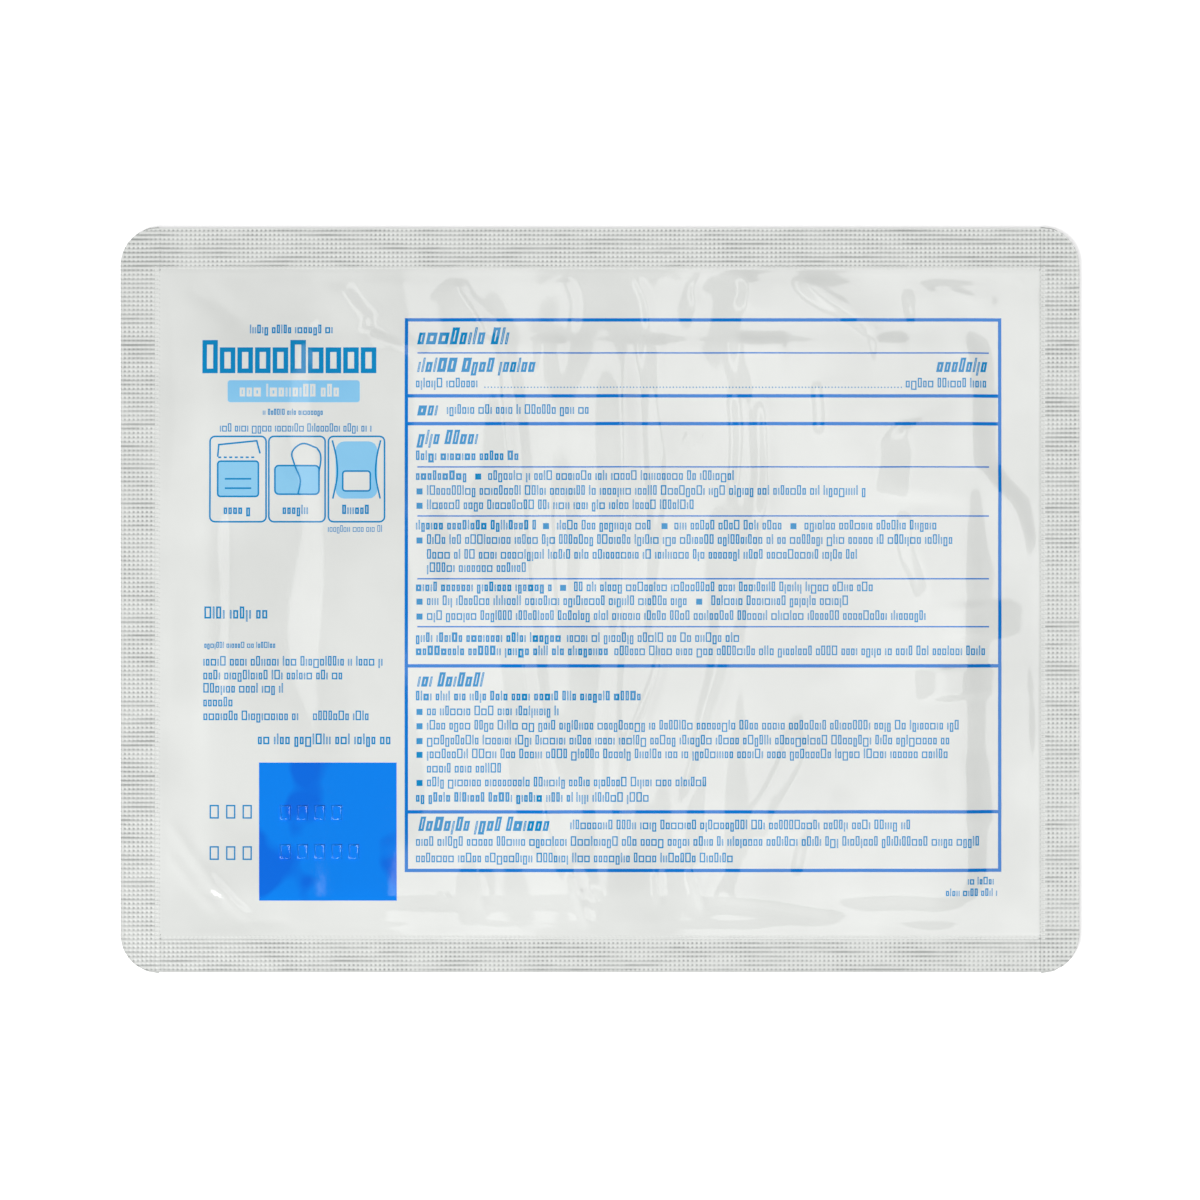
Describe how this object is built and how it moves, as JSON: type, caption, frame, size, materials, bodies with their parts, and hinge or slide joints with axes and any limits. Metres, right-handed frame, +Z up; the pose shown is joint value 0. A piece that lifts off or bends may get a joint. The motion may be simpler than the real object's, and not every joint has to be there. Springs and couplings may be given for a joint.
{
  "type": "sealed medicated patch pouch",
  "caption": "Sealed flat laminate pouch holding one medicated skin patch, with knurled heat seals on four sides and a softly creased printed face.",
  "frame": {"origin": "on the table under the centre of the pouch's die-cut outline", "axes": "+X along the long side, to the right as the print reads; +Y along the short side, towards the top of the print; +Z up out of the printed face"},
  "size_m": [0.1744, 0.1352, 0.0023],
  "materials": {
    "laminate": "glossy white film over foil, printed in blue, knurled along the heat seals"
  },
  "bodies": {
    "root": {"sealed_pouch": "laminate"}
  },
  "joints": []
}
